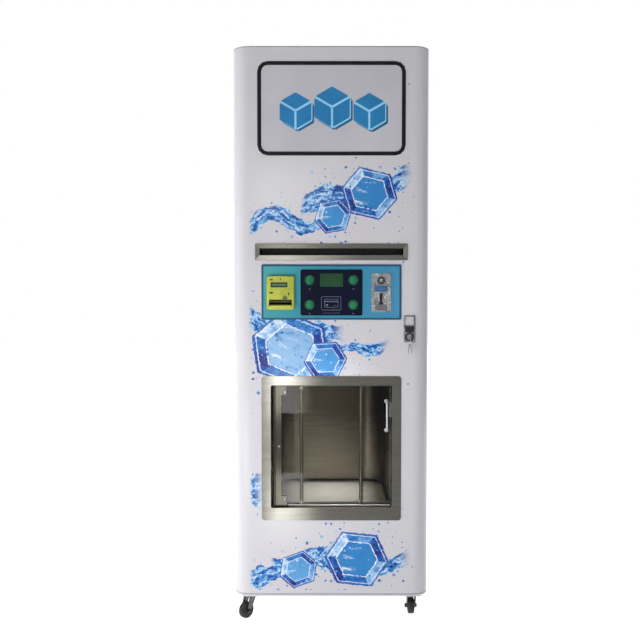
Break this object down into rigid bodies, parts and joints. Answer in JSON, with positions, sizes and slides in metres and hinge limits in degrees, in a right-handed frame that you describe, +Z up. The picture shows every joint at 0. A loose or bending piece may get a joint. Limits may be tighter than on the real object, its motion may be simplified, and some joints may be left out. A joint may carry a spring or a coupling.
{
  "type": "ice vending machine",
  "caption": "Tall free-standing ice vending machine on casters, with a hinged front door, lit sign, bag slot, payment panel and a clear delivery door over a stainless tub.",
  "frame": {"origin": "on the floor, under the middle of the machine's footprint", "axes": "+Z up, the front faces -Y, +X is to the right as a customer sees it"},
  "size_m": [0.65, 0.758, 1.9],
  "materials": {
    "white_paint": "glossy white powder coat, the door's film printed in blues",
    "brushed_stainless": "brushed stainless sheet",
    "zinc_plate": "zinc-plated steel",
    "chrome": "polished chrome",
    "black_rubber": "matt black rubber",
    "frosted_acrylic": "translucent pale acrylic",
    "clear_acrylic": "clear acrylic",
    "control_blue": "printed teal to blue",
    "keypad_navy": "printed polycarbonate membrane",
    "button_green": "translucent green",
    "display_green": "dark olive display window",
    "acceptor_yellow": "moulded yellow",
    "black_plastic": "moulded black",
    "white_plastic": "moulded white",
    "bag_film": "rolled polythene film",
    "machine_black": "black enamel",
    "aluminium_fins": "pressed aluminium fins"
  },
  "bodies": {
    "cabinet": {"base_plate": "white_paint", "top_cap": "white_paint", "left_side_panel": "white_paint", "right_side_panel": "white_paint", "front_frame": "zinc_plate", "rear_cover": "white_paint", "delivery_tub": "brushed_stainless", "tub_floor_plate": "white_plastic", "ice_bin": "brushed_stainless", "auger_motor": "machine_black", "ice_chute": "brushed_stainless", "machine_deck": "zinc_plate", "ice_maker": "brushed_stainless", "compressor": "machine_black", "condenser": "aluminium_fins", "power_inlet": "black_plastic", "water_inlet": "chrome", "drain_pipe": "white_plastic"},
    "service_door": {"service_door_skin": "white_paint", "door_gasket": "black_rubber", "sign_gasket": "black_rubber", "sign_window": "frosted_acrylic", "sign_light_box": "white_plastic", "slot_trim": "brushed_stainless", "bag_roll_cradle": "zinc_plate", "control_plate": "control_blue", "keypad_panel": "keypad_navy", "display_window": "display_green", "bill_acceptor_bezel": "acceptor_yellow", "bill_acceptor_body": "black_plastic", "coin_plate": "chrome", "coin_mech_body": "black_plastic", "lock_plate": "chrome", "delivery_frame": "brushed_stainless"},
    "delivery_door": {"delivery_door_rail": "brushed_stainless", "delivery_door_panel": "clear_acrylic", "delivery_handle": "chrome", "guard_rod_left": "brushed_stainless", "guard_rod_right": "brushed_stainless"},
    "lock_paddle": {"lock_paddle": "chrome"},
    "lock_key": {"lock_key": "chrome", "latch_cam": "zinc_plate"},
    "button_lower_left": {"button_lower_left": "button_green"},
    "button_upper_left": {"button_upper_left": "button_green"},
    "button_lower_right": {"button_lower_right": "button_green"},
    "button_upper_right": {"button_upper_right": "button_green"},
    "coin_return_button": {"coin_return_button": "control_blue"},
    "coin_return_flap": {"coin_return_flap": "brushed_stainless"},
    "bag_roll": {"bag_roll": "bag_film"},
    "chute_gate": {"chute_gate": "brushed_stainless"},
    "ice_auger": {"ice_auger": "brushed_stainless"},
    "fan_blades": {"fan_blades": "machine_black"},
    "caster_fork_front_left": {"caster_fork_front_left": "zinc_plate"},
    "caster_wheel_front_left": {"caster_wheel_front_left": "black_rubber"},
    "caster_fork_front_right": {"caster_fork_front_right": "zinc_plate"},
    "caster_wheel_front_right": {"caster_wheel_front_right": "black_rubber"},
    "caster_fork_rear_left": {"caster_fork_rear_left": "zinc_plate"},
    "caster_wheel_rear_left": {"caster_wheel_rear_left": "black_rubber"},
    "caster_fork_rear_right": {"caster_fork_rear_right": "zinc_plate"},
    "caster_wheel_rear_right": {"caster_wheel_rear_right": "black_rubber"}
  },
  "joints": [
    {"name": "service_door_hinge", "type": "hinge", "parent": "cabinet", "child": "service_door", "pos_m": [-0.311, -0.303, 0.088], "axis": [0, 0, -1], "range_deg": [0, 110]},
    {"name": "delivery_door_hinge", "type": "hinge", "parent": "service_door", "child": "delivery_door", "pos_m": [-0.1905, -0.3308, 0.381], "axis": [0, 0, -1], "range_deg": [0, 95]},
    {"name": "lock_paddle_hinge", "type": "hinge", "parent": "service_door", "child": "lock_paddle", "pos_m": [0.25805, -0.3508, 1.0125], "axis": [-1, 0, 0], "range_deg": [0, 40]},
    {"name": "lock_key_turn", "type": "hinge", "parent": "service_door", "child": "lock_key", "pos_m": [0.25805, -0.349, 0.948], "axis": [0, -1, 0], "range_deg": [0, 90]},
    {"name": "coin_return_flap_hinge", "type": "hinge", "parent": "service_door", "child": "coin_return_flap", "pos_m": [0.16397, -0.3511, 1.057], "axis": [1, 0, 0], "range_deg": [0, 70]},
    {"name": "chute_gate_hinge", "type": "hinge", "parent": "cabinet", "child": "chute_gate", "pos_m": [0, -0.148, 0.8193], "axis": [-1, 0, 0], "range_deg": [0, 75]},
    {"name": "auger_spin", "type": "hinge", "parent": "cabinet", "child": "ice_auger", "pos_m": [0, 0.026, 1.04], "axis": [0, 1, 0], "continuous": true},
    {"name": "fan_spin", "type": "hinge", "parent": "cabinet", "child": "fan_blades", "pos_m": [0.15002, 0.259, 0.2113], "axis": [0, 1, 0], "continuous": true},
    {"name": "bag_roll_spin", "type": "hinge", "parent": "service_door", "child": "bag_roll", "pos_m": [0, -0.291, 1.21645], "axis": [1, 0, 0], "continuous": true},
    {"name": "button_lower_left_press", "type": "slide", "parent": "service_door", "child": "button_lower_left", "axis": [0, 1, 0], "range_m": [0, 0.003], "stiffness_N_per_m": 300, "springref_m": -0.002},
    {"name": "button_upper_left_press", "type": "slide", "parent": "service_door", "child": "button_upper_left", "axis": [0, 1, 0], "range_m": [0, 0.003], "stiffness_N_per_m": 300, "springref_m": -0.002},
    {"name": "button_lower_right_press", "type": "slide", "parent": "service_door", "child": "button_lower_right", "axis": [0, 1, 0], "range_m": [0, 0.003], "stiffness_N_per_m": 300, "springref_m": -0.002},
    {"name": "button_upper_right_press", "type": "slide", "parent": "service_door", "child": "button_upper_right", "axis": [0, 1, 0], "range_m": [0, 0.003], "stiffness_N_per_m": 300, "springref_m": -0.002},
    {"name": "coin_return_press", "type": "slide", "parent": "service_door", "child": "coin_return_button", "axis": [0, 1, 0], "range_m": [0, 0.003], "stiffness_N_per_m": 300, "springref_m": -0.002},
    {"name": "caster_swivel_front_left", "type": "hinge", "parent": "cabinet", "child": "caster_fork_front_left", "pos_m": [-0.272, -0.313, 0.08], "axis": [0, 0, 1], "continuous": true},
    {"name": "caster_roll_front_left", "type": "hinge", "parent": "caster_fork_front_left", "child": "caster_wheel_front_left", "pos_m": [-0.28614, -0.32985, 0.027], "axis": [-0.766, 0.6428, 0], "continuous": true},
    {"name": "caster_swivel_front_right", "type": "hinge", "parent": "cabinet", "child": "caster_fork_front_right", "pos_m": [0.272, -0.313, 0.08], "axis": [0, 0, 1], "continuous": true},
    {"name": "caster_roll_front_right", "type": "hinge", "parent": "caster_fork_front_right", "child": "caster_wheel_front_right", "pos_m": [0.272, -0.291, 0.027], "axis": [1, 0, 0], "continuous": true},
    {"name": "caster_swivel_rear_left", "type": "hinge", "parent": "cabinet", "child": "caster_fork_rear_left", "pos_m": [-0.272, 0.291, 0.08], "axis": [0, 0, 1], "continuous": true},
    {"name": "caster_roll_rear_left", "type": "hinge", "parent": "caster_fork_rear_left", "child": "caster_wheel_rear_left", "pos_m": [-0.27952, 0.31167, 0.027], "axis": [0.9397, 0.342, 0], "continuous": true},
    {"name": "caster_swivel_rear_right", "type": "hinge", "parent": "cabinet", "child": "caster_fork_rear_right", "pos_m": [0.272, 0.291, 0.08], "axis": [0, 0, 1], "continuous": true},
    {"name": "caster_roll_rear_right", "type": "hinge", "parent": "caster_fork_rear_right", "child": "caster_wheel_rear_right", "pos_m": [0.28462, 0.30902, 0.027], "axis": [0.8192, -0.5736, 0], "continuous": true}
  ]
}
